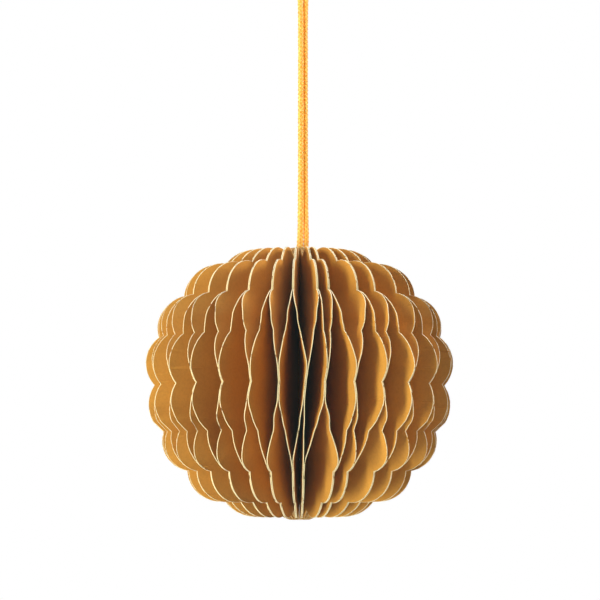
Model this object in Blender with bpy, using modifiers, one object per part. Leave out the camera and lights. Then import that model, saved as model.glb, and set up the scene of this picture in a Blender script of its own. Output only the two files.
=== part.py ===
"""Honeycomb paper ball on a doubled cord, for hanging.

A stack of equal half-round leaves with scalloped rims is glued up in alternate strips and fanned all
the way round its spine. Near the poles each pair of leaves is glued rim to rim, across the middle
each leaf is glued to the neighbour of the next pair, and between the strips the leaves bow apart
into cells. A soft cord runs doubled through the hollow spine and ends in a knot inside it.

Metres, +Z up. The origin is where a hook carries the loop of the cord.
"""

import math
import random

import bmesh
import bpy
from mathutils import Matrix, Vector

# The ball
BALL_WIDTH = 0.0942  # across the notches at its middle
BALL_HEIGHT = 0.0824  # between the first whole notches at its poles
DROP = 0.1460  # from the hook down to the middle of the ball
LEAF_PAIRS = 28
PAPER = 0.00025  # thickness of the card
GLUE_GAP = 0.00007  # between two glued leaves
SPINE_GAP = 0.00012  # between leaves at the spine

# One leaf: its notches from the top to the foot, as parts of half the width and half the height. The
# first and the last lie beyond the axis, where the spine cuts the scallops at the poles short.
NOTCHES = (
    (-0.127, 1.017),
    (0.183, 0.990),
    (0.526, 0.919),
    (0.799, 0.675),
    (0.970, 0.356),
    (1.0, -0.020),
    (0.936, -0.385),
    (0.773, -0.689),
    (0.514, -0.924),
    (0.176, -0.997),
    (-0.127, -1.017),
)
# How far each scallop stands out from the line between its notches, from the top to the foot
SCALLOP_RISES = (0.0029, 0.0036, 0.0038, 0.0035, 0.0035, 0.0034, 0.0033, 0.0035, 0.0034, 0.0029)
ARC_STEPS = 4  # straight runs in each scallop

# Glued strips, as heights above the middle
UPPER_STRIP_FOOT = 0.0269
MIDDLE_STRIP_HEAD = 0.0036
MIDDLE_STRIP_FOOT = -0.0065
LOWER_STRIP_HEAD = -0.0252
UPPER_BOW = 0.02  # how much sooner than evenly a leaf swings away from the upper strip
LOWER_BOW = 0.07  # and from the lower one
BOW_SWAY = 0.03  # more than that above on the left of the ball and below on its right, and less across
CELL_CUTS = 3  # cross lines in the paper between two strips

# The fan, in degrees round the ball from the front, growing to the right. The stack is closed to a
# ring between its last pair and its first, and there it opens unevenly: each row says how far a pair
# stands from its even place, above and below, and how far the strip that joins it to the next pair
# stands from its own, at the strip's head and foot. At the back the pairs stand nearly even.
FAN_START = 20.0
FRONT_LEANS = {
    -8: (7.1, 5.9, 7.8, 6.6),
    -7: (6.1, 7.1, 8.5, 8.3),
    -6: (7.8, 7.6, 8.1, 7.9),
    -5: (7.4, 7.6, 7.9, 7.8),
    -4: (6.9, 6.6, 7.2, 6.2),
    -3: (5.8, 4.7, 4.7, 4.6),
    -2: (2.8, 2.7, 2.2, 0.8),
    -1: (1.3, -5.3, -3.6, -4.7),
    0: (-6.2, -3.3, -5.6, -5.7),
    1: (-4.3, -8.9, -6.3, -7.1),
    2: (-7.0, -6.0, -6.0, -6.7),
    3: (-4.3, -5.9, -4.3, -5.7),
    4: (-1.4, -3.0, -1.4, -2.2),
}
BACK_SPREAD = 0.9  # the most that a pair at the back strays
BACK_SEED = 7

# The cord
CORD_DIAMETER = 0.00175
CORD_SPACING = 0.0045  # between the points of its smooth course
KNOT_CLEARANCE = 0.0003  # between the knot and the spine round it
KNOT_LENGTH = 0.0056
KNOT_TURNS = 3
KNOT_GAP = 0.0003  # between the knot and the two ends of the cord
CORD_ROUTE = (
    (-0.00095, 0.0, -0.1795),
    (-0.00095, 0.0, -0.1660),
    (-0.00075, -0.0001, -0.1460),
    (-0.00045, -0.0001, -0.1260),
    (-0.00020, -0.0002, -0.1110),
    (-0.00010, -0.0002, -0.1025),
    (0.00012, -0.0002, -0.0980),
    (0.00030, -0.0004, -0.0930),
    (0.00045, -0.0005, -0.0875),
    (0.00047, -0.0006, -0.0780),
    (0.00047, -0.0006, -0.0590),
    (0.00047, -0.0006, -0.0410),
    (0.00040, -0.0006, -0.0235),
    (-0.00020, -0.0005, -0.0150),
    (-0.00190, -0.0003, -0.0095),
    (-0.00330, -0.0002, -0.0050),
    (-0.00275, -0.0001, -0.0015),
    (0.00060, 0.0, 0.00088),
    (0.00410, 0.0001, -0.0013),
    (0.00500, 0.0002, -0.0050),
    (0.00400, 0.0003, -0.0095),
    (0.00250, 0.0005, -0.0150),
    (0.00200, 0.0006, -0.0235),
    (0.00195, 0.0006, -0.0410),
    (0.00195, 0.0006, -0.0590),
    (0.00195, 0.0006, -0.0780),
    (0.00205, 0.0005, -0.0875),
    (0.00217, 0.0004, -0.0930),
    (0.00222, 0.0002, -0.0980),
    (0.00205, 0.0002, -0.1025),
    (0.00185, 0.0002, -0.1110),
    (0.00140, 0.0001, -0.1260),
    (0.00110, 0.0, -0.1460),
    (0.00095, 0.0, -0.1660),
    (0.00095, 0.0, -0.1795),
)

# Colours, linear
CARD_OCHRE = (0.565, 0.292, 0.064, 1.0)
CORD_ORANGE = (0.914, 0.390, 0.048, 1.0)

LEAVES = 2 * LEAF_PAIRS
PAIR_STEP = 360.0 / LEAF_PAIRS
CORE_RADIUS = LEAVES * (PAPER + SPINE_GAP) / (2.0 * math.pi)
REACH = BALL_WIDTH / 2.0 - CORE_RADIUS


def clear_scene():
    """Take every object out of the open file."""
    for thing in list(bpy.data.objects):
        bpy.data.objects.remove(thing, do_unlink=True)


def make_material(name, colour, roughness):
    """A plain matt finish."""
    material = bpy.data.materials.new(name)
    material.use_nodes = True
    shader = material.node_tree.nodes["Principled BSDF"]
    shader.inputs["Base Color"].default_value = colour
    shader.inputs["Roughness"].default_value = roughness
    shader.inputs["Metallic"].default_value = 0.0
    return material


def add_object(name, data, material, collection, parent=None):
    """Put a mesh or curve into the scene as a named sub-part."""
    data.materials.append(material)
    thing = bpy.data.objects.new(name, data)
    thing.parent = parent
    collection.objects.link(thing)
    return thing


def arc_between(start, end, rise, steps):
    """Points of a circular arc that stands out by rise from the line between two notches."""
    chord = end - start
    outward = Vector((-chord.y, chord.x)).normalized()
    radius = (chord.length_squared / 4.0 + rise * rise) / (2.0 * rise)
    centre = (start + end) / 2.0 + outward * (rise - radius)
    first = math.atan2(start.y - centre.y, start.x - centre.x)
    last = math.atan2(end.y - centre.y, end.x - centre.x)
    turns = [first + (last - first) * step / steps for step in range(steps + 1)]
    return [centre + radius * Vector((math.cos(turn), math.sin(turn))) for turn in turns]


def leaf_rim():
    """The scalloped rim, as distance from the axis and height, from the top of the spine to its foot."""
    notches = [Vector((x * BALL_WIDTH / 2.0, z * BALL_HEIGHT / 2.0)) for x, z in NOTCHES]
    rim = []
    for start, end, rise in zip(notches, notches[1:], SCALLOP_RISES):
        rim += arc_between(start, end, rise, ARC_STEPS)[:-1]
    rim = [point for point in rim if point.x > CORE_RADIUS + PAPER]
    return [on_spine(notches[:2], SCALLOP_RISES[0])] + rim + [on_spine(notches[-2:], SCALLOP_RISES[-1])]


def on_spine(notches, rise):
    """Where a scallop at a pole meets the spine."""
    fine = arc_between(*notches, rise, 40 * ARC_STEPS)
    meets = min(fine, key=lambda point: abs(point.x - CORE_RADIUS))
    return Vector((CORE_RADIUS, meets.y))


def cell_heights():
    """Heights at which the paper of a leaf is creased across, where it swings between two strips."""
    heights = []
    for upper, lower in ((UPPER_STRIP_FOOT, MIDDLE_STRIP_HEAD), (MIDDLE_STRIP_FOOT, LOWER_STRIP_HEAD)):
        heights += [upper + (lower - upper) * step / CELL_CUTS for step in range(CELL_CUTS + 1)]
    return heights


def flat_leaf():
    """One leaf before it is glued, flat in the XZ plane: the filled outline, cut across at each height."""
    blank = bmesh.new()
    corners = [blank.verts.new((point.x, 0.0, point.y)) for point in leaf_rim()]
    edges = [blank.edges.new((corners[i - 1], corners[i])) for i in range(len(corners))]
    bmesh.ops.contextual_create(blank, geom=edges)
    for height in cell_heights():
        bmesh.ops.bisect_plane(
            blank,
            geom=blank.verts[:] + blank.edges[:] + blank.faces[:],
            dist=PAPER / 2.0,
            plane_co=(0.0, 0.0, height),
            plane_no=(0.0, 0.0, 1.0),
        )
    bmesh.ops.triangulate(blank, faces=blank.faces[:])
    return blank


def fan_directions():
    """For each pair: where it points above and below, and where its strip to the next pair does."""
    dice = random.Random(BACK_SEED)
    first, last = min(FRONT_LEANS), max(FRONT_LEANS)
    fan = []
    for pair in range(LEAF_PAIRS):
        listed = pair if pair in FRONT_LEANS else pair - LEAF_PAIRS
        leans = FRONT_LEANS.get(listed)
        if leans is None:
            share = (pair - last) / (LEAF_PAIRS + first - last)
            stray = dice.uniform(-BACK_SPREAD, BACK_SPREAD)
            ends = zip(FRONT_LEANS[last], FRONT_LEANS[first])
            leans = [end + (start - end) * share + stray for end, start in ends]
        even = FAN_START + pair * PAIR_STEP
        joint = even + PAIR_STEP / 2.0
        fan.append((even + leans[0], even + leans[1], joint + leans[2], joint + leans[3]))
    return fan


def ruling(direction, even):
    """Turn of the straight line from the spine that ends in a given direction at the rim."""
    return direction + (direction - even) * CORE_RADIUS / REACH


def swing(start, end, share, bow):
    """Part of the way from an end strip to the middle one, quicker at first."""
    return start + (end - start) * (share + bow * math.sin(math.pi * share))


def leaf_turn(height, above, below, strip_head, strip_foot):
    """Which way a leaf points at a height, in degrees."""
    sway = -BOW_SWAY * math.sin(math.radians(strip_head))
    if height >= UPPER_STRIP_FOOT:
        return above
    if height > MIDDLE_STRIP_HEAD:
        share = (UPPER_STRIP_FOOT - height) / (UPPER_STRIP_FOOT - MIDDLE_STRIP_HEAD)
        return swing(above, strip_head, share, UPPER_BOW + sway)
    if height >= MIDDLE_STRIP_FOOT:
        share = (MIDDLE_STRIP_HEAD - height) / (MIDDLE_STRIP_HEAD - MIDDLE_STRIP_FOOT)
        return strip_head + (strip_foot - strip_head) * share
    if height > LOWER_STRIP_HEAD:
        share = (height - LOWER_STRIP_HEAD) / (MIDDLE_STRIP_FOOT - LOWER_STRIP_HEAD)
        return swing(below, strip_foot, share, LOWER_BOW - sway)
    return below


def heading(degrees):
    """Level unit vector at an angle round the ball from the front."""
    turn = math.radians(degrees)
    return Vector((math.sin(turn), -math.cos(turn), 0.0))


def leaf_turns(number, fan):
    """How a leaf turns: above, below, and at the head and foot of the strip across its middle."""
    pair, right = divmod(number, 2)
    even = FAN_START + pair * PAIR_STEP
    joint = even + (right - 0.5) * PAIR_STEP
    above, below = fan[pair][:2]
    head, foot = fan[pair if right else pair - 1][2:]
    round_back = 0.0 if right or pair else 360.0
    return (
        ruling(above, even),
        ruling(below, even),
        ruling(head - round_back, joint),
        ruling(foot - round_back, joint),
    )


def make_leaf(number, blank, fan, material, collection, ball):
    """Bend a copy of the flat leaf to its place in the fan and give it the thickness of the card."""
    turns = leaf_turns(number, fan)
    foot = heading(FAN_START + (number - 0.5) * PAIR_STEP / 2.0) * CORE_RADIUS
    bent = blank.copy()
    for vert in bent.verts:
        place = foot + heading(leaf_turn(vert.co.z, *turns)) * (vert.co.x - CORE_RADIUS)
        vert.co = (place.x, place.y, vert.co.z)
    mesh = bpy.data.meshes.new(f"leaf_{number + 1:02d}")
    bent.to_mesh(mesh)
    bent.free()
    leaf = add_object(mesh.name, mesh, material, collection, ball)
    solidify = leaf.modifiers.new("card", "SOLIDIFY")
    solidify.thickness = PAPER
    solidify.offset = 0.0


def smooth_course(route, spacing):
    """Points about every spacing along a smooth curve through the route's own, one of them halfway."""
    route = [Vector(point) for point in route]
    ends = [2 * route[0] - route[1]] + route + [2 * route[-1] - route[-2]]
    fine = []
    for before, start, end, after in zip(ends, ends[1:], ends[2:], ends[3:]):
        for step in range(20):
            fine.append(between(before, start, end, after, step / 20.0))
    fine.append(route[-1])
    along = [0.0]
    for start, end in zip(fine, fine[1:]):
        along.append(along[-1] + (end - start).length)
    count = 2 * round(along[-1] / spacing / 2.0)
    course = []
    at = 0
    for step in range(count):
        wanted = along[-1] * step / count
        while along[at + 1] < wanted:
            at += 1
        share = (wanted - along[at]) / (along[at + 1] - along[at])
        course.append(fine[at].lerp(fine[at + 1], share))
    return course + [fine[-1]]


def between(before, start, end, after, share):
    """A point between start and end on the smooth curve through four points."""
    return 0.5 * (
        2.0 * start
        + (end - before) * share
        + (2.0 * before - 5.0 * start + 4.0 * end - after) * share**2
        + (3.0 * start - before - 3.0 * end + after) * share**3
    )


def make_tube(name, points, diameter, material, collection):
    """A round cord along the points, closed at both ends."""
    curve = bpy.data.curves.new(name, "CURVE")
    curve.dimensions = "3D"
    curve.bevel_depth = diameter / 2.0
    curve.bevel_resolution = 2
    curve.use_fill_caps = True
    spline = curve.splines.new("POLY")
    spline.points.add(len(points) - 1)
    for point, place in zip(spline.points, points):
        point.co = (*place, 1.0)
    return add_object(name, curve, material, collection)


def make_knot(material, collection):
    """The knot inside the spine: the two ends wound round themselves into a barrel."""
    head = min(CORD_ROUTE[0][2], CORD_ROUTE[-1][2]) - KNOT_GAP
    outer = CORE_RADIUS - KNOT_CLEARANCE
    groove = 0.25 * CORD_DIAMETER
    profile = bmesh.new()
    steps = 4 * KNOT_TURNS
    points = [Vector((0.0, 0.0, head))]
    for step in range(steps + 1):
        bulge = abs(math.sin(math.pi * (step + 0.5) * KNOT_TURNS / (steps + 1)))
        height = head - KNOT_LENGTH * (0.05 + 0.9 * step / steps)
        points.append(Vector((outer - groove * (1.0 - bulge), 0.0, height)))
    points.append(Vector((0.0, 0.0, head - KNOT_LENGTH)))
    verts = [profile.verts.new(point) for point in points]
    edges = [profile.edges.new(pair) for pair in zip(verts, verts[1:])]
    bmesh.ops.spin(
        profile,
        geom=verts + edges,
        cent=(0.0, 0.0, 0.0),
        axis=(0.0, 0.0, 1.0),
        angle=2.0 * math.pi,
        steps=16,
        use_merge=True,
    )
    bmesh.ops.remove_doubles(profile, verts=profile.verts[:], dist=0.00001)
    bmesh.ops.recalc_face_normals(profile, faces=profile.faces[:])
    mesh = bpy.data.meshes.new("cord_knot")
    profile.to_mesh(mesh)
    profile.free()
    mesh.shade_smooth()
    mesh.set_sharp_from_angle(angle=math.radians(40.0))
    add_object(mesh.name, mesh, material, collection)


def main():
    """Build the ball and its cord."""
    clear_scene()
    collection = bpy.data.collections.new("honeycomb_paper_ball")
    bpy.context.scene.collection.children.link(collection)
    cutters = bpy.data.collections.new("cutters")
    bpy.context.scene.collection.children.link(cutters)
    ball = bpy.data.objects.new("ball_middle", None)
    ball.matrix_world = Matrix.Translation((0.0, 0.0, -DROP))
    collection.objects.link(ball)
    cord_finish = make_material("orange_cord", CORD_ORANGE, 0.9)
    blank = flat_leaf()
    fan = fan_directions()
    for number in range(LEAVES):
        card_finish = make_material(f"ochre_card_{number + 1:02d}", CARD_OCHRE, 0.8)
        make_leaf(number, blank, fan, card_finish, collection, ball)
    blank.free()
    course = smooth_course(CORD_ROUTE, CORD_SPACING)
    make_tube("cord_loop", course, CORD_DIAMETER, cord_finish, collection)
    make_knot(make_material("orange_knot", CORD_ORANGE, 0.9), collection)


main()
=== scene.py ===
"""Dresses the honeycomb paper ball: its scalloped card leaves, their pale cut edges, and its cord.

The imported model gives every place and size. Each leaf is cut again from finer card and bent along
the rulings of its solid, and each strand of the cord is plaited round the course that the solids
keep. The scene works in metres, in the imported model's own frame.
"""

import logging
import math
from dataclasses import dataclass, field
from enum import Enum
from typing import Any, Sequence

import bpy
import numpy as np
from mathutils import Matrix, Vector


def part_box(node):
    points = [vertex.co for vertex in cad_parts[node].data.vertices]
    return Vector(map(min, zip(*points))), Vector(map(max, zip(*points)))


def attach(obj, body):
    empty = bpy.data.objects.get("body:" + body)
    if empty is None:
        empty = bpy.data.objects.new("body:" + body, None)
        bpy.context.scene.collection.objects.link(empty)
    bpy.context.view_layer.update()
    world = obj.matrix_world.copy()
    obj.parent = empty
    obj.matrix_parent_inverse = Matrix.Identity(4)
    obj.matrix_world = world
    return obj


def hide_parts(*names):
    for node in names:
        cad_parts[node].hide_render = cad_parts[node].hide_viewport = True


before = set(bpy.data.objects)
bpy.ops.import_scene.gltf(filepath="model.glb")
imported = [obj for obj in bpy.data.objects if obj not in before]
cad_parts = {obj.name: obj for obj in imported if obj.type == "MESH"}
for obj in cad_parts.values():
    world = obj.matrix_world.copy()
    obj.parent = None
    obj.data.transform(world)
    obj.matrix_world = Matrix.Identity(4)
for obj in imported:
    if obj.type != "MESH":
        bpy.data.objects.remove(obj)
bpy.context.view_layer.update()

LOG = logging.getLogger("honeycomb_ball")
BODY = "root"
MM = 0.001
DECIMALS = 7

Colour = tuple[float, float, float]
WHITE: Colour = (1.0, 1.0, 1.0)
BLACK: Colour = (0.0, 0.0, 0.0)


class Slot(Enum):
    """The record's finishes, which a piece may take."""

    CARD = "ochre_card"
    CORD = "orange_cord"


class LeafSide(Enum):
    """What a leaf shows: the dyed face of its card, or the heart of it where it was cut."""

    FACE = 0
    CUT = 1


# Shader maths


class Signal:
    """A value in a material, on which shader maths is written as Python."""

    def __init__(self, sheet: "NodeSheet", socket: bpy.types.NodeSocket | None) -> None:
        """Wrap one output.

        Args:
            sheet: The node sheet that the value belongs to.
            socket: The output that carries it, if its node has one.
        """
        self.sheet = sheet
        self.socket = socket

    def _maths(self, operation: str, first: Any, second: Any) -> "Signal":
        """Add one Math node."""
        return self.sheet.node("ShaderNodeMath", {"operation": operation}, {0: first, 1: second})

    def __add__(self, other: Any) -> "Signal":
        """Add."""
        return self._maths("ADD", self, other)

    def __radd__(self, other: Any) -> "Signal":
        """Add to a number."""
        return self._maths("ADD", other, self)

    def __sub__(self, other: Any) -> "Signal":
        """Take away."""
        return self._maths("SUBTRACT", self, other)

    def __rsub__(self, other: Any) -> "Signal":
        """Take from a number."""
        return self._maths("SUBTRACT", other, self)

    def __mul__(self, other: Any) -> "Signal":
        """Multiply."""
        return self._maths("MULTIPLY", self, other)

    def __rmul__(self, other: Any) -> "Signal":
        """Multiply a number."""
        return self._maths("MULTIPLY", other, self)

    def clamp(self) -> "Signal":
        """Keep between nought and one."""
        return self.sheet.node("ShaderNodeClamp", {}, {0: self})


class NodeSheet:
    """The node tree of a material or of a world, with one way to add a node."""

    def __init__(self, owner: bpy.types.Material | bpy.types.World) -> None:
        """Take an empty tree.

        Args:
            owner: The new material or world.
        """
        owner.use_nodes = True
        self.tree = owner.node_tree
        self.tree.nodes.clear()

    def node(
        self,
        kind: str,
        settings: dict[str, Any] | None = None,
        values: dict[Any, Any] | None = None,
        output: str | int = 0,
    ) -> Signal:
        """Add a node, set it and feed it.

        Args:
            kind: The node's type.
            settings: Properties of the node.
            values: Numbers, colours or signals for its sockets, by name or place.
            output: The output to hand back, by name or place.

        Returns:
            The chosen output.
        """
        made = self.tree.nodes.new(kind)
        for name, setting in (settings or {}).items():
            setattr(made, name, setting)
        for place, value in (values or {}).items():
            if isinstance(value, Signal):
                self.tree.links.new(value.socket, made.inputs[place])
            else:
                made.inputs[place].default_value = value
        return Signal(self, made.outputs[output] if len(made.outputs) else None)

    def mix(self, factor: Any, first: Any, second: Any) -> Signal:
        """Mix two colours, on the sockets that a Mix node keeps for colours.

        Args:
            factor: How much of the second.
            first: The first colour or signal.
            second: The second colour or signal.

        Returns:
            The mixed colour.
        """
        ends = [end if isinstance(end, Signal) else (*end, 1.0) for end in (first, second)]
        values = {0: factor, 6: ends[0], 7: ends[1]}
        return self.node("ShaderNodeMix", {"data_type": "RGBA"}, values, output=2)

    def place(self, source: str, scale: Sequence[float] = (1.0, 1.0, 1.0)) -> Signal:
        """Coordinates of the surface, in metres, through a Mapping node."""
        place = self.node("ShaderNodeTexCoord", output=source)
        return self.node("ShaderNodeMapping", {}, {"Vector": place, "Scale": tuple(scale)})

    def noise(self, vector: Signal, grain: float, detail: float = 3.0, rough: float = 0.6) -> Signal:
        """Cloudy noise whose lumps are one grain across."""
        values = {"Vector": vector, "Scale": 1.0 / grain, "Detail": detail, "Roughness": rough}
        return self.node("ShaderNodeTexNoise", {}, values)

    def surface(self, shader: Signal, output: str = "ShaderNodeOutputMaterial") -> None:
        """Make a shader the surface of the material or world."""
        self.node(output, {}, {"Surface": shader})


# Finishes


@dataclass(frozen=True)
class CardFinish:
    """Dyed card: matt, with cloudy dye, short fibres and a faint grain.

    A faint, even emission glow is painted on the card: painted light that lifts its deepest shade.
    """

    name: str = "ochre_card"
    dye: Colour = (0.685, 0.364, 0.064)
    thin_dye: Colour = (0.727, 0.391, 0.072)
    deep_dye: Colour = (0.648, 0.335, 0.057)
    cloud: float = 9.0 * MM
    cloud_rough: float = 0.5
    fibre: float = 0.35 * MM
    fibre_stretch: float = 3.5
    fibre_contrast: float = 1.2
    fibre_share: float = 0.35
    fibre_depth: float = 0.05 * MM
    fibre_relief: float = 0.6
    speck: float = 0.80 * MM
    speck_detail: float = 2.0
    speck_dye: Colour = (0.46, 0.225, 0.042)
    speck_from: float = 0.42
    speck_contrast: float = 4.0
    speck_share: float = 0.20
    # Painted light: a faint, even bluish emission that lifts the card's deepest shade.
    painted_glow: Colour = (0.002, 0.006, 0.009)
    roughness: float = 0.85
    shine: float = 0.25

    def material(self) -> bpy.types.Material:
        """Build the finish.

        Returns:
            The material.
        """
        made = bpy.data.materials.new(self.name)
        sheet = NodeSheet(made)
        here = sheet.place("Object")
        along = sheet.place("UV", (1.0, 1.0 / self.fibre_stretch, 1.0))
        cloud = sheet.noise(here, self.cloud, rough=self.cloud_rough)
        fibre = sheet.noise(along, self.fibre)
        speck = sheet.noise(here, self.speck, self.speck_detail)
        fibres = ((fibre - 0.5) * self.fibre_contrast + 0.5).clamp() * self.fibre_share
        specks = ((speck - self.speck_from) * self.speck_contrast).clamp() * self.speck_share
        colour = sheet.mix(cloud, self.deep_dye, self.thin_dye)
        colour = sheet.mix(fibres, colour, self.dye)
        colour = sheet.mix(specks, colour, self.speck_dye)
        relief = {"Strength": self.fibre_relief, "Distance": self.fibre_depth, "Height": fibre}
        values = {
            "Base Color": colour,
            "Roughness": self.roughness,
            "Specular IOR Level": self.shine,
            # Painted light: the faint emission glow that lifts the card's deepest shade.
            "Emission Color": (*self.painted_glow, 1.0),
            "Emission Strength": 1.0,
            "Normal": sheet.node("ShaderNodeBump", {}, relief),
        }
        sheet.surface(sheet.node("ShaderNodeBsdfPrincipled", {}, values))
        return made


@dataclass(frozen=True)
class CutEdgeFinish:
    """The undyed heart of the card, where the blade went through: cream, and darker near the spine."""

    name: str = "cut_edge"
    cream: Colour = (0.95, 0.89, 0.57)
    dyed: Colour = (0.84, 0.60, 0.24)
    tear: float = 0.5 * MM
    tear_contrast: float = 4.0
    tear_share: float = 0.5
    # The cut edge turns to this darker colour within about 11 mm of the spine.
    near_spine_colour: Colour = (0.52, 0.30, 0.08)
    darker_within: float = 11.0 * MM
    darker_fade: float = 4.0 * MM
    darker_share: float = 0.85
    roughness: float = 0.9
    shine: float = 0.2

    def material(self) -> bpy.types.Material:
        """Build the finish.

        Returns:
            The material.
        """
        made = bpy.data.materials.new(self.name)
        sheet = NodeSheet(made)
        torn = sheet.noise(sheet.place("Object"), self.tear)
        out = sheet.node("ShaderNodeSeparateXYZ", {}, {0: sheet.place("UV")}, output="X")
        tears = ((torn - 0.5) * self.tear_contrast).clamp() * self.tear_share
        # Darker towards the spine: the edge colour blends to the darker colour within a few millimetres of
        # it.
        near_spine = ((self.darker_within - out) * (1.0 / self.darker_fade)).clamp() * self.darker_share
        colour = sheet.mix(tears, self.cream, self.dyed)
        colour = sheet.mix(near_spine, colour, self.near_spine_colour)
        values = {"Base Color": colour, "Roughness": self.roughness, "Specular IOR Level": self.shine}
        sheet.surface(sheet.node("ShaderNodeBsdfPrincipled", {}, values))
        return made


@dataclass(frozen=True)
class CordFinish:
    """Soft plaited cord in yellow-orange, with a painted highlight on the crowns of its plaits and painted
    shade in the grooves between them.

    An orange emission glow is painted on the cord: painted light that lifts the shade between its strands.
    The glow ends where the ball's leaves hide the cord.
    """

    name: str = "orange_cord"
    # Painted light: the pale crown colour stands in for the highlight on each plait, and the deep orange
    # groove colour for the shade between plaits.
    crown: Colour = (0.93, 0.71, 0.16)
    groove_shade: Colour = (0.93, 0.32, 0.014)
    highlight_contrast: float = 0.8
    mottle: float = 0.55 * MM
    mottle_contrast: float = 2.8
    paleness: float = 0.60
    # Painted light: an orange emission glow that lifts the shade between the strands.
    painted_glow: Colour = (0.17, 0.055, 0.0)
    hidden_below: float = -0.1035
    hidden_fade: float = 5.0 * MM
    roughness: float = 0.45
    shine: float = 0.7
    softness: float = 0.4
    soft_reach: tuple[float, float, float] = (1.0, 0.7, 0.3)
    soft_depth: float = 0.7 * MM
    down: float = 0.1
    down_roughness: float = 0.4
    down_tint: Colour = (1.0, 0.70, 0.30)

    def material(self) -> bpy.types.Material:
        """Build the finish.

        Returns:
            The material.
        """
        made = bpy.data.materials.new(self.name)
        sheet = NodeSheet(made)
        here = sheet.place("Object")
        mottled = sheet.noise(here, self.mottle)
        height = sheet.node("ShaderNodeAttribute", {"attribute_name": Cord.CROWN}, output="Fac")
        # Painted highlight and shade: paler where the plait stands high, deeper orange where it sinks into a
        # groove.
        crown_highlight = (height - 0.5) * self.highlight_contrast
        mottles = (mottled - 0.5) * self.mottle_contrast
        up = sheet.node("ShaderNodeSeparateXYZ", {}, {0: here}, output="Z")
        # Where the painted glow shows: it fades out below the height where the leaves hide the cord.
        glow_mask = ((up - self.hidden_below) * (1.0 / self.hidden_fade)).clamp()
        values = {
            "Base Color": sheet.mix((crown_highlight + mottles + self.paleness).clamp(), self.groove_shade, self.crown),
            "Roughness": self.roughness,
            "Specular IOR Level": self.shine,
            "Subsurface Weight": self.softness,
            "Subsurface Radius": self.soft_reach,
            "Subsurface Scale": self.soft_depth,
            "Sheen Weight": self.down,
            "Sheen Roughness": self.down_roughness,
            "Sheen Tint": (*self.down_tint, 1.0),
            "Emission Color": sheet.mix(glow_mask, BLACK, self.painted_glow),
            "Emission Strength": 1.0,
        }
        sheet.surface(sheet.node("ShaderNodeBsdfPrincipled", {}, values))
        return made


@dataclass(frozen=True)
class FloorFinish:
    """Plain pale floor that fades into the white round it."""

    name: str = "pale_floor"
    colour: Colour = (0.86, 0.86, 0.86)
    fade_from: float = 0.35
    fade_to: float = 0.75

    def material(self, middle: Vector) -> bpy.types.Material:
        """Build the finish.

        Args:
            middle: The middle of the floor.

        Returns:
            The material.
        """
        made = bpy.data.materials.new(self.name)
        sheet = NodeSheet(made)
        ends = {0: sheet.place("Object"), 1: tuple(middle)}
        out = sheet.node("ShaderNodeVectorMath", {"operation": "DISTANCE"}, ends, output="Value")
        fade = ((out - self.fade_from) * (1.0 / (self.fade_to - self.fade_from))).clamp()
        seen = sheet.node("ShaderNodeLightPath", output="Is Camera Ray")
        matt = sheet.node("ShaderNodeBsdfDiffuse", {}, {"Color": (*self.colour, 1.0)})
        white = sheet.node("ShaderNodeEmission", {}, {"Color": (*WHITE, 1.0), "Strength": 1.0})
        sheet.surface(sheet.node("ShaderNodeMixShader", {}, {0: fade * seen, 1: matt, 2: white}))
        return made


# Camera, light and floor


@dataclass
class Viewpoint:
    """The camera, a little below the ball's middle and well back from it."""

    distance: float = 0.680
    lens: float = 125.5
    sensor: float = 36.0
    below_deg: float = 1.83
    looks_above: float = 27.15 * MM
    looks_right: float = 0.195 * MM

    def place(self, middle: Vector) -> None:
        """Put the camera in the scene.

        Args:
            middle: The middle of the ball.
        """
        data = bpy.data.cameras.new("camera")
        data.lens = self.lens
        data.sensor_width = self.sensor
        camera = bpy.data.objects.new("camera", data)
        bpy.context.scene.collection.objects.link(camera)
        turn = math.radians(self.below_deg)
        camera.location = middle + self.distance * Vector((0.0, -math.cos(turn), -math.sin(turn)))
        aim = middle + Vector((self.looks_right, 0.0, self.looks_above)) - camera.location
        camera.rotation_euler = aim.to_track_quat("-Z", "Y").to_euler()
        bpy.context.scene.camera = camera


class LampSize(Enum):
    """The two kinds of soft lamp, by width and height."""

    STRIP = (0.26, 1.60)
    PANEL = (0.60, 0.60)


@dataclass
class SoftBox:
    """A soft lamp that faces the ball from one direction.

    Azimuths are counted from the front, growing to the right.
    """

    name: str
    size: LampSize
    azimuth_deg: float
    elevation_deg: float
    power: float
    colour: Colour = WHITE
    distance: float = 1.5

    def place(self, middle: Vector) -> None:
        """Hang the lamp.

        Args:
            middle: The middle of the ball, which it faces.
        """
        data = bpy.data.lights.new(self.name, "AREA")
        data.shape = "RECTANGLE"
        data.size, data.size_y = self.size.value
        data.energy = self.power
        data.color = self.colour
        lamp = bpy.data.objects.new(self.name, data)
        bpy.context.scene.collection.objects.link(lamp)
        around = math.radians(self.azimuth_deg)
        up = math.radians(self.elevation_deg)
        out = Vector((math.sin(around) * math.cos(up), -math.cos(around) * math.cos(up), math.sin(up)))
        lamp.location = middle + out * self.distance
        lamp.rotation_euler = (-out).to_track_quat("-Z", "Y").to_euler()


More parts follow.
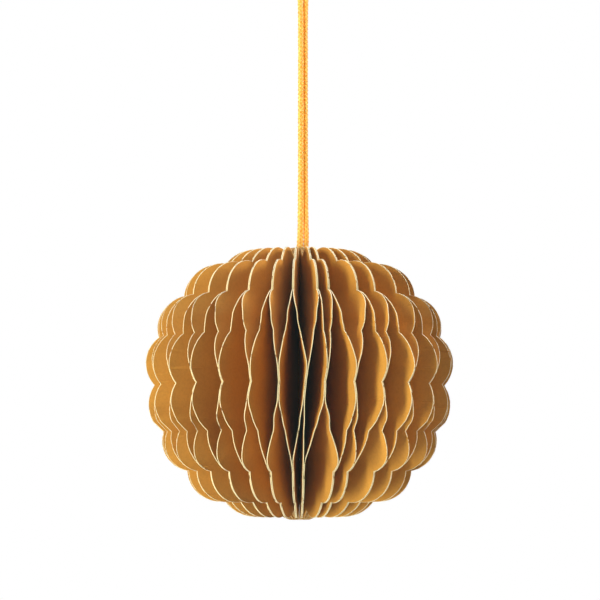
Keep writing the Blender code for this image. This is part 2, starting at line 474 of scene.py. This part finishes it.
@dataclass
class Studio:
    """White surroundings, soft lamps and a pale floor well under the ball.

    The key strip stands to the front left. The others fill the sides, and light the cells from
    above and below.
    """

    drop: float = 0.80
    floor_radius: float = 0.80
    floor_corners: int = 96
    sky: float = 0.11
    sky_colour: Colour = (1.0, 0.95, 1.25)
    lamps: tuple[SoftBox, ...] = (
        SoftBox("key_strip", LampSize.STRIP, -40.0, -8.0, 24.6, (1.04, 0.95, 0.67)),
        SoftBox("front_strip", LampSize.STRIP, -4.0, -2.0, 1.3, (0.80, 0.92, 1.30)),
        SoftBox("left_lamp", LampSize.PANEL, -90.0, 18.0, 9.9, (1.0, 0.82, 0.64)),
        SoftBox("right_lamp", LampSize.PANEL, 90.0, 24.0, 15.4, (1.0, 0.82, 0.64)),
        SoftBox("right_front_lamp", LampSize.PANEL, 55.0, 30.0, 1.3, (1.0, 0.96, 0.80)),
        SoftBox("low_left_lamp", LampSize.PANEL, -90.0, -40.0, 1.1, (1.0, 0.84, 0.66)),
        SoftBox("low_right_lamp", LampSize.PANEL, 90.0, -40.0, 2.0, (0.90, 1.0, 1.30)),
        SoftBox("top_lamp", LampSize.PANEL, 90.0, 70.0, 5.5, (0.95, 0.97, 1.20)),
        SoftBox("high_lamp", LampSize.PANEL, 0.0, 65.0, 2.0),
        SoftBox("back_lamp", LampSize.PANEL, 180.0, 70.0, 9.4, (0.85, 0.95, 1.35)),
    )

    def build(self, middle: Vector, lowest: float) -> None:
        """Set up the studio.

        Args:
            middle: The middle of the ball.
            lowest: The height of its foot.
        """
        for lamp in self.lamps:
            lamp.place(middle)
        self._light_world()
        foot = Vector((middle.x, middle.y, lowest - self.drop))
        deselect_all()
        bpy.ops.mesh.primitive_circle_add(
            vertices=self.floor_corners, radius=self.floor_radius, fill_type="NGON", location=foot
        )
        floor = bpy.context.object
        floor.name = "floor"
        bpy.ops.object.transform_apply(location=True, rotation=False, scale=False)
        floor.data.materials.append(FloorFinish().material(foot))

    def _light_world(self) -> None:
        """White where it is seen, and an even glow elsewhere."""
        bpy.context.scene.view_settings.view_transform = "Standard"
        world = bpy.data.worlds.new("studio")
        bpy.context.scene.world = world
        sheet = NodeSheet(world)
        seen = sheet.node("ShaderNodeLightPath", output="Is Camera Ray")
        even = {"Color": (*self.sky_colour, 1.0), "Strength": self.sky}
        glow = sheet.node("ShaderNodeBackground", {}, even)
        white = sheet.node("ShaderNodeBackground", {}, {"Color": (*WHITE, 1.0)})
        mixed = sheet.node("ShaderNodeMixShader", {}, {0: seen, 1: glow, 2: white})
        sheet.surface(mixed, output="ShaderNodeOutputWorld")


# Shared modelling steps


def deselect_all() -> None:
    """Leave nothing selected and no piece in hand."""
    bpy.ops.object.select_all(action="DESELECT")
    bpy.context.view_layer.objects.active = None


def take_in_hand(piece: bpy.types.Object) -> None:
    """Select one piece alone.

    Args:
        piece: The piece.
    """
    deselect_all()
    piece.select_set(True)
    bpy.context.view_layer.objects.active = piece


def apply_modifiers(piece: bpy.types.Object) -> None:
    """Make a piece's modifiers part of its mesh.

    Args:
        piece: The piece, which stays in hand.
    """
    take_in_hand(piece)
    for modifier in list(piece.modifiers):
        bpy.ops.object.modifier_apply(modifier=modifier.name)


def set_places(mesh: bpy.types.Mesh, places: np.ndarray) -> None:
    """Move all the points of a mesh."""
    mesh.vertices.foreach_set("co", np.ascontiguousarray(places, np.float32).ravel())
    mesh.update()


def get_places(mesh: bpy.types.Mesh) -> np.ndarray:
    """Read all the points of a mesh.

    Args:
        mesh: The mesh.

    Returns:
        Its points, one to a row.
    """
    places = np.empty(len(mesh.vertices) * 3, np.float32)
    mesh.vertices.foreach_get("co", places)
    return places.reshape(-1, 3).astype(float)


def smooth_course(route: Sequence[Sequence[float]], steps: int) -> np.ndarray:
    """Points on the smooth curve through a route's own points.

    Args:
        route: The points that the curve passes.
        steps: How many runs the curve has between two of them.

    Returns:
        The points of the curve, one to a row.
    """
    marks = np.array(route, float)
    ends = np.vstack([2.0 * marks[0] - marks[1], marks, 2.0 * marks[-1] - marks[-2]])
    before, start, end, after = ends[:-3], ends[1:-2], ends[2:-1], ends[3:]
    runs = []
    for share in np.arange(steps) / steps:
        runs.append(
            0.5
            * (
                2.0 * start
                + (end - before) * share
                + (2.0 * before - 5.0 * start + 4.0 * end - after) * share**2
                + (3.0 * start - before - 3.0 * end + after) * share**3
            )
        )
    return np.vstack([np.stack(runs, axis=1).reshape(-1, 3), marks[-1:]])


def evenly_spaced(line: np.ndarray, spacing: float) -> np.ndarray:
    """The same line with its points evenly spaced.

    Args:
        line: Its points, one to a row.
        spacing: How far apart they are to be, near enough.

    Returns:
        The new points, one to a row.
    """
    along = np.concatenate([[0.0], np.cumsum(np.linalg.norm(np.diff(line, axis=0), axis=1))])
    count = max(2, round(along[-1] / spacing))
    at = np.linspace(0.0, along[-1], count + 1)
    return np.stack([np.interp(at, along, line[:, axis]) for axis in range(3)], axis=1)


def monotone(at: np.ndarray, places: np.ndarray, values: np.ndarray) -> np.ndarray:
    """A smooth curve through values that never passes beyond them.

    Args:
        at: Where to read it.
        places: Where the values are, growing.
        values: The values there.

    Returns:
        The curve's values.
    """
    step = np.diff(places)
    slope = np.diff(values) / step
    tangent = np.zeros(len(values))
    same = slope[:-1] * slope[1:] > 0.0
    pair = slope[:-1][same], slope[1:][same]
    tangent[1:-1][same] = 2.0 * pair[0] * pair[1] / (pair[0] + pair[1])
    cell = np.clip(np.searchsorted(places, at) - 1, 0, len(step) - 1)
    share = np.clip((at - places[cell]) / step[cell], 0.0, 1.0)
    low, high = values[cell], values[cell + 1]
    return (
        low * (1.0 + 2.0 * share) * (1.0 - share) ** 2
        + high * share**2 * (3.0 - 2.0 * share)
        + step[cell] * share * (1.0 - share) * (tangent[cell] * (1.0 - share) - tangent[cell + 1] * share)
    )


# The cord


@dataclass
class Cord:
    """The doubled cord: up from its knot in the spine, round the hook, and back down.

    The strand that goes up is the one in front. It swells just over the ball, where the plait
    slackens, and the one that comes down is drawn thinner there. Inside the spine both fill out.
    """

    CROWN = "crown"

    diameter: float = 1.75 * MM
    course_steps: int = 24
    rings: float = 0.125 * MM
    sides: int = 24
    plaits: int = 4
    plait_pitch: float = 1.35 * MM
    relief: float = 0.13 * MM
    mean_crown: float = 0.6
    uneven: float = 0.02 * MM
    uneven_pitch: float = 1.5 * MM
    uneven_past_end: float = 2.0 * MM
    fuzz: float = 0.03 * MM
    weld: float = 0.001 * MM
    seed: int = 3

    # Height, and how many diameters thick the cord is there, going up and coming down
    swell: tuple[tuple[float, float, float], ...] = (
        (-0.1450, 1.16, 1.16),
        (-0.1160, 1.16, 1.16),
        (-0.1040, 1.27, 0.90),
        (-0.0960, 1.20, 0.92),
        (-0.0780, 1.06, 0.96),
        (-0.0300, 1.04, 0.96),
        (-0.0150, 1.00, 1.00),
    )

    # Where its middle runs: up from the knot, round the hook and back down
    route: tuple[tuple[float, float, float], ...] = (
        (-0.00095, 0.0, -0.1795),
        (-0.00095, 0.0, -0.1660),
        (-0.00075, -0.0001, -0.1460),
        (-0.00045, -0.0001, -0.1260),
        (-0.00005, -0.0002, -0.1110),
        (0.00016, -0.0002, -0.1025),
        (0.00036, -0.0002, -0.0980),
        (0.00044, -0.0004, -0.0930),
        (0.00045, -0.0005, -0.0875),
        (0.00047, -0.0006, -0.0780),
        (0.00047, -0.0006, -0.0590),
        (0.00047, -0.0006, -0.0410),
        (0.00040, -0.0006, -0.0235),
        (-0.00020, -0.0005, -0.0150),
        (-0.00190, -0.0003, -0.0095),
        (-0.00330, -0.0002, -0.0050),
        (-0.00275, -0.0001, -0.0015),
        (0.00060, 0.0, 0.00088),
        (0.00410, 0.0001, -0.0013),
        (0.00500, 0.0002, -0.0050),
        (0.00400, 0.0003, -0.0095),
        (0.00250, 0.0005, -0.0150),
        (0.00200, 0.0006, -0.0235),
        (0.00195, 0.0006, -0.0410),
        (0.00195, 0.0006, -0.0590),
        (0.00195, 0.0006, -0.0780),
        (0.00205, 0.0005, -0.0875),
        (0.00217, 0.0004, -0.0930),
        (0.00228, 0.0002, -0.0980),
        (0.00215, 0.0002, -0.1025),
        (0.00185, 0.0002, -0.1110),
        (0.00140, 0.0001, -0.1260),
        (0.00110, 0.0, -0.1460),
        (0.00095, 0.0, -0.1660),
        (0.00095, 0.0, -0.1795),
    )

    def build(self) -> bpy.types.Object:
        """Returns:
            The cord.
        """
        line = evenly_spaced(smooth_course(self.route, self.course_steps), self.rings)
        piece = self._tube(line)
        finish = CordFinish().material()
        piece.data.materials.append(finish)
        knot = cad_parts["cord_knot"]
        knot.data.materials.clear()
        knot.data.materials.append(finish)
        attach(piece, BODY)
        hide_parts("cord_loop")
        return piece

    def _tube(self, line: np.ndarray) -> bpy.types.Object:
        """Roll a fine grid into a closed tube round the line, with the relief of its plaits.

        Args:
            line: The course of its middle.

        Returns:
            The tube.
        """
        ahead = np.gradient(line, axis=0)
        ahead /= np.linalg.norm(ahead, axis=1)[:, None]
        side = np.cross(ahead, (0.0, 1.0, 0.0))
        side /= np.linalg.norm(side, axis=1)[:, None]
        front = np.cross(side, ahead)
        along = self.rings * np.arange(len(line))[:, None]
        around = 2.0 * math.pi * np.arange(self.sides)[None, :] / self.sides
        crown = self._crown(along, around)
        radius = self._girth(line)[:, None] + self._relief(along, crown)
        ring = np.cos(around)[..., None] * side[:, None, :] + np.sin(around)[..., None] * front[:, None, :]
        places = line[:, None, :] + radius[..., None] * ring
        deselect_all()
        bpy.ops.mesh.primitive_grid_add(
            x_subdivisions=self.sides, y_subdivisions=len(line) - 1, size=1.0, calc_uvs=False
        )
        piece = bpy.context.object
        piece.name = piece.data.name = "plaited_cord"
        set_places(piece.data, np.concatenate([places, places[:, :1]], axis=1))
        height = piece.data.attributes.new(self.CROWN, "FLOAT", "POINT")
        closed = np.concatenate([crown, crown[:, :1]], axis=1)
        height.data.foreach_set("value", closed.ravel().astype(np.float32))
        bpy.ops.object.mode_set(mode="EDIT")
        bpy.ops.mesh.select_all(action="SELECT")
        bpy.ops.mesh.remove_doubles(threshold=self.weld)
        bpy.ops.mesh.fill_holes(sides=self.sides)
        bpy.ops.mesh.select_all(action="SELECT")
        bpy.ops.mesh.normals_make_consistent(inside=False)
        bpy.ops.object.mode_set(mode="OBJECT")
        piece.data.shade_smooth()
        return piece

    def _crown(self, along: np.ndarray, around: np.ndarray) -> np.ndarray:
        """How high each point stands on its plait, from nought to one.

        Args:
            along: Distance along the cord.
            around: Angle round it.

        Returns:
            The height at each ring and side.
        """
        turn = 2.0 * math.pi * along / self.plait_pitch
        left = np.cos(self.plaits * around + turn)
        right = np.cos(self.plaits * around - turn)
        return 0.5 + 0.25 * (left + right)

    def _girth(self, line: np.ndarray) -> np.ndarray:
        """How thick the cord is at each ring, with its swelling.

        Args:
            line: The course of its middle, up the front strand and down the back one.

        Returns:
            The radius at each ring, before its relief.
        """
        heights, rising, falling = np.array(self.swell).T
        going_up = np.arange(len(line)) < line[:, 2].argmax()
        swell = np.where(
            going_up, np.interp(line[:, 2], heights, rising), np.interp(line[:, 2], heights, falling)
        )
        return swell * self.diameter / 2.0

    def _relief(self, along: np.ndarray, crown: np.ndarray) -> np.ndarray:
        """How far each point stands out or in, for the plaits, a slow unevenness and a little fuzz.

        Args:
            along: Distance along the cord.
            crown: How high each point stands on its plait.

        Returns:
            What is added to the radius at each ring and side.
        """
        dice = np.random.default_rng(self.seed)
        knots = np.arange(0.0, along[-1, 0] + self.uneven_past_end, self.uneven_pitch)
        uneven = np.interp(along[:, 0], knots, dice.normal(0.0, self.uneven, len(knots)))
        fuzz = dice.normal(0.0, self.fuzz, crown.shape)
        return self.relief * (crown - self.mean_crown) + uneven[:, None] + fuzz


# The leaves


@dataclass
class LeafSolid:
    """What a leaf's solid says: where it stands on the spine, its outline, and how it turns.

    Args:
        node: The solid's name.
        core: How far the leaves' spine edges stand from the axis.
    """

    node: str
    core: float
    ease: float = 2.6 * MM
    ease_steps: int = 11
    spine_width: float = 0.25 * MM
    level_step: float = 0.02 * MM
    foot: np.ndarray = field(init=False)
    ends: tuple[float, float] = field(init=False)
    heights: np.ndarray = field(init=False)
    reaches: np.ndarray = field(init=False)
    turns: np.ndarray = field(init=False)

    def __post_init__(self) -> None:
        """Read the middle of the card at its rim, from the top to the foot."""
        places = np.unique(np.round(get_places(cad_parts[self.node].data), DECIMALS), axis=0)
        middles = self._between_faces(places)
        from_axis = np.linalg.norm(middles[:, :2], axis=1)
        spine = from_axis < self.core + self.spine_width
        self.foot = middles[spine][:, :2].mean(axis=0)
        self.ends = float(middles[spine][:, 2].max()), float(middles[spine][:, 2].min())
        rim = middles[~spine]
        reach = np.linalg.norm(rim[:, :2] - self.foot, axis=1) + self.core
        order = np.argsort(-np.arctan2(rim[:, 2] - sum(self.ends) / 2.0, reach))
        rim = rim[order]
        out = rim[:, :2] - self.foot
        self.heights = rim[:, 2]
        self.reaches = reach[order]
        self.turns = np.unwrap(np.arctan2(out[:, 0], -out[:, 1]))

    @staticmethod
    def _between_faces(places: np.ndarray) -> np.ndarray:
        """Halve the distance between each point and its fellow on the other face of the card.

        Args:
            places: The points of both faces.

        Returns:
            The points half way between them.
        """
        apart = np.linalg.norm(places[:, None, :] - places[None, :, :], axis=2)
        np.fill_diagonal(apart, 1.0)
        fellow = apart.argmin(axis=1)
        middles = (places + places[fellow]) / 2.0
        return np.unique(np.round(middles, DECIMALS), axis=0)

    def turn_at(self, heights: np.ndarray) -> np.ndarray:
        """The leaf's direction at any height, eased where the card bends, without overshoot.

        Args:
            heights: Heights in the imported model's frame.

        Returns:
            Directions round the ball from the front, in radians.
        """
        order = np.argsort(self.heights)
        places, turns = self.heights[order], self.turns[order]
        apart = np.concatenate([[True], np.diff(places) > self.level_step])
        shares = np.linspace(-1.0, 1.0, self.ease_steps)[1:-1]
        weights = (1.0 - np.abs(shares)) / (1.0 - np.abs(shares)).sum()
        near = [monotone(heights + self.ease * share, places[apart], turns[apart]) for share in shares]
        return np.tensordot(weights, np.array(near), 1)


@dataclass
class LeafBlank:
    """One leaf as it is cut from the card, flat in the XZ plane.

    Args:
        solid: The solid whose outline it takes.
    """

    solid: LeafSolid
    arc_step: float = 0.55 * MM
    least_rise: float = 0.1 * MM
    notch_bend: float = 0.2
    bare: float = 0.15 * MM
    weld: float = 0.01 * MM
    row: float = 1.5 * MM
    columns: tuple[float, ...] = (8.0 * MM, 14.0 * MM, 21.0 * MM, 28.0 * MM, 35.0 * MM, 41.0 * MM)

    def outline(self) -> np.ndarray:
        """The scalloped rim as reach and height, with each scallop a true arc.

        Returns:
            Points from the top of the spine to its foot.
        """
        points = np.stack([self.solid.reaches, self.solid.heights], axis=1)
        top, foot = ([self.solid.core, height] for height in self.solid.ends)
        points = np.vstack([top, points, foot])
        before = points[1:-1] - points[:-2]
        after = points[2:] - points[1:-1]
        bend = before[:, 0] * after[:, 1] - before[:, 1] * after[:, 0]
        bend /= np.linalg.norm(before, axis=1) * np.linalg.norm(after, axis=1)
        notches = np.flatnonzero(bend > self.notch_bend) + 1
        corners = [0, *notches, len(points) - 1]
        rim = [points[0]]
        for start, end in zip(corners, corners[1:]):
            rim += self._arc(points[start : end + 1])
        return np.array(rim)

    def _arc(self, scallop: np.ndarray) -> list[np.ndarray]:
        """The arc through a scallop's two ends and its farthest point.

        Args:
            scallop: The solid's points from one notch to the next.

        Returns:
            Points after the first notch, up to the next one.
        """
        start, end = scallop[0], scallop[-1]
        chord = end - start
        length = float(np.linalg.norm(chord))
        outward = np.array([-chord[1], chord[0]]) / length
        rises = (scallop - start) @ outward
        rise = float(rises[np.abs(rises).argmax()])
        if abs(rise) < self.least_rise:
            return [end]
        radius = (length**2 / 4.0 + rise**2) / (2.0 * rise)
        centre = (start + end) / 2.0 + outward * (rise - radius)
        spokes = start - centre, end - centre
        angles = [math.atan2(spoke[1], spoke[0]) for spoke in spokes]
        sweep = (angles[1] - angles[0] + math.pi) % (2.0 * math.pi) - math.pi
        steps = max(2, round(abs(sweep * radius) / self.arc_step))
        turns = angles[0] + sweep * np.arange(1, steps + 1) / steps
        return [centre + abs(radius) * np.array([math.cos(turn), math.sin(turn)]) for turn in turns]

    def make(self, finishes: dict[LeafSide, bpy.types.Material]) -> bpy.types.Object:
        """Cut the blank: fill the outline, bare its rim, crease it in rows and columns, lay out its grain.

        Args:
            finishes: The finish of each of its sides.

        Returns:
            The flat blank.
        """
        outline = self.outline()
        deselect_all()
        bpy.ops.mesh.primitive_circle_add(
            vertices=len(outline), radius=1.0, fill_type="NOTHING", calc_uvs=False
        )
        blank = bpy.context.object
        blank.name = blank.data.name = "leaf_blank"
        set_places(blank.data, np.stack([outline[:, 0], 0.0 * outline[:, 0], outline[:, 1]], axis=1))
        for side in LeafSide:
            blank.data.materials.append(finishes[side])
        bpy.ops.object.mode_set(mode="EDIT")
        bpy.ops.mesh.select_all(action="SELECT")
        bpy.ops.mesh.edge_face_add()
        bpy.ops.mesh.select_mode(type="FACE")
        bpy.ops.mesh.inset(thickness=self.bare, depth=0.0)
        bpy.ops.mesh.select_all(action="INVERT")
        blank.active_material_index = LeafSide.CUT.value
        bpy.ops.object.material_slot_assign()
        self._crease(outline[:, 1].min(), outline[:, 1].max())
        bpy.ops.mesh.select_all(action="SELECT")
        bpy.ops.mesh.remove_doubles(threshold=self.weld)
        bpy.ops.mesh.quads_convert_to_tris()
        bpy.ops.object.mode_set(mode="OBJECT")
        self._lay_out_grain(blank.data)
        return blank

    def _crease(self, low: float, high: float) -> None:
        """Cut the faces of the blank in hand along its rows and columns, so that it can bend.

        Args:
            low: The height of its foot.
            high: The height of its top.
        """
        rows = np.linspace(low, high, round((high - low) / self.row) + 1)[1:-1]
        cuts = [((0.0, 0.0, height), (0.0, 0.0, 1.0)) for height in rows]
        cuts += [((reach, 0.0, 0.0), (1.0, 0.0, 0.0)) for reach in self.columns]
        for point, across in cuts:
            bpy.ops.mesh.select_all(action="SELECT")
            bpy.ops.mesh.bisect(plane_co=point, plane_no=across)

    @staticmethod
    def _lay_out_grain(mesh: bpy.types.Mesh) -> None:
        """Give the card a UV map in metres, so that its fibres follow the sheet when it bends.

        Args:
            mesh: The flat blank.
        """
        corners = np.empty(len(mesh.loops), np.int32)
        mesh.loops.foreach_get("vertex_index", corners)
        flat = get_places(mesh)[corners][:, [0, 2]]
        layer = mesh.uv_layers.new(name="grain")
        layer.data.foreach_set("uv", flat.astype(np.float32).ravel())


@dataclass
class PaperBall:
    """All the leaves of the ball.

    Args:
        leaves: How many there are.
    """

    leaves: int
    paper: float = 0.25 * MM
    fray: float = 0.06 * MM
    tear: float = 0.16 * MM
    torn_share: float = 0.03
    whole_at_spine: float = 1.0 * MM
    spine_points: int = 8
    smooth_under_deg: float = 40.0
    seed: int = 11

    def build(self) -> list[bpy.types.Object]:
        """Cut the blank once, and bend a copy of it for each leaf.

        Returns:
            The leaves.
        """
        core = self._core_radius()
        solids = [LeafSolid(f"leaf_{number:02d}", core) for number in range(1, self.leaves + 1)]
        finishes = {LeafSide.FACE: CardFinish().material(), LeafSide.CUT: CutEdgeFinish().material()}
        blank = LeafBlank(solids[0]).make(finishes)
        dice = np.random.default_rng(self.seed)
        rim = self._rim_points(blank.data)
        made = [self._bend(blank, solid, rim, dice) for solid in solids]
        bpy.data.objects.remove(blank)
        return made

    def _core_radius(self) -> float:
        """How far the spine edges of the leaves stand from the axis.

        Returns:
            The mean over the points of the first leaf's solid that lie nearest to it.
        """
        places = get_places(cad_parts["leaf_01"].data)
        from_axis = np.sort(np.linalg.norm(places[:, :2], axis=1))
        return float(from_axis[: self.spine_points].mean())

    @staticmethod
    def _rim_points(mesh: bpy.types.Mesh) -> np.ndarray:
        """Which points of the blank lie on its cut edge: those of the edges that bound one face only.

        Args:
            mesh: The blank.

        Returns:
            Whether each point does.
        """
        uses = np.zeros(len(mesh.edges), int)
        loops = np.empty(len(mesh.loops), np.int32)
        mesh.loops.foreach_get("edge_index", loops)
        np.add.at(uses, loops, 1)
        ends = np.empty(len(mesh.edges) * 2, np.int32)
        mesh.edges.foreach_get("vertices", ends)
        rim = np.zeros(len(mesh.vertices), bool)
        rim[ends.reshape(-1, 2)[uses == 1].ravel()] = True
        return rim

    def _fray(self, flat: np.ndarray, rim: np.ndarray, core: float, dice: np.random.Generator) -> np.ndarray:
        """Nick the cut edge a little and tear it here and there, never past the blank's own outline.

        Args:
            flat: The points of the blank.
            rim: Which of them lie on the cut edge.
            core: Where the spine is, which stays whole.
            dice: Where its chances come from.

        Returns:
            The points of the frayed leaf.
        """
        inward = np.array([0.0, 0.0, (flat[:, 2].min() + flat[:, 2].max()) / 2.0]) - flat
        inward /= np.linalg.norm(inward, axis=1)[:, None]
        nick = np.abs(dice.normal(0.0, self.fray, len(flat)))
        nick += self.tear * (dice.random(len(flat)) < self.torn_share)
        cut = rim & (flat[:, 0] > core + self.whole_at_spine)
        return flat + np.where(cut, nick, 0.0)[:, None] * inward

    def _bend(
        self, blank: bpy.types.Object, solid: LeafSolid, rim: np.ndarray, dice: np.random.Generator
    ) -> bpy.types.Object:
        """Bend one leaf to its place.

        Args:
            blank: The flat leaf.
            solid: Its solid.
            rim: Which of the blank's points lie on its cut edge.
            dice: Where its chances come from.

        Returns:
            The leaf.
        """
        mesh = blank.data.copy()
        mesh.name = f"card_{solid.node}"
        leaf = bpy.data.objects.new(mesh.name, mesh)
        bpy.context.scene.collection.objects.link(leaf)
        flat = self._fray(get_places(mesh), rim, solid.core, dice)
        turn = solid.turn_at(flat[:, 2])
        reach = flat[:, 0] - solid.core
        x = solid.foot[0] + np.sin(turn) * reach
        y = solid.foot[1] - np.cos(turn) * reach
        set_places(mesh, np.stack([x, y, flat[:, 2]], axis=1))
        card = leaf.modifiers.new("card", "SOLIDIFY")
        card.thickness = self.paper
        card.offset = 0.0
        card.material_offset_rim = LeafSide.CUT.value
        apply_modifiers(leaf)
        bpy.ops.object.shade_smooth_by_angle(angle=math.radians(self.smooth_under_deg))
        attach(leaf, BODY)
        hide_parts(solid.node)
        return leaf


def main() -> None:
    """Dress the whole ball, and report each of its pieces."""
    logging.basicConfig(level=logging.INFO, format="%(name)s: %(message)s")
    leaf_nodes = [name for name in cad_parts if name.startswith("leaf_")]
    lows, highs = zip(*(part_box(name) for name in leaf_nodes))
    low = Vector([min(corner[axis] for corner in lows) for axis in range(3)])
    high = Vector([max(corner[axis] for corner in highs) for axis in range(3)])
    middle = Vector((0.0, 0.0, (low.z + high.z) / 2.0))
    Viewpoint().place(middle)
    cord = Cord().build()
    Studio().build(middle, low.z)
    leaves = PaperBall(leaves=len(leaf_nodes)).build()
    for piece in (cord, *leaves):
        LOG.info("%s: %d faces", piece.name, len(piece.data.polygons))


if __name__ == "__main__":
    main()
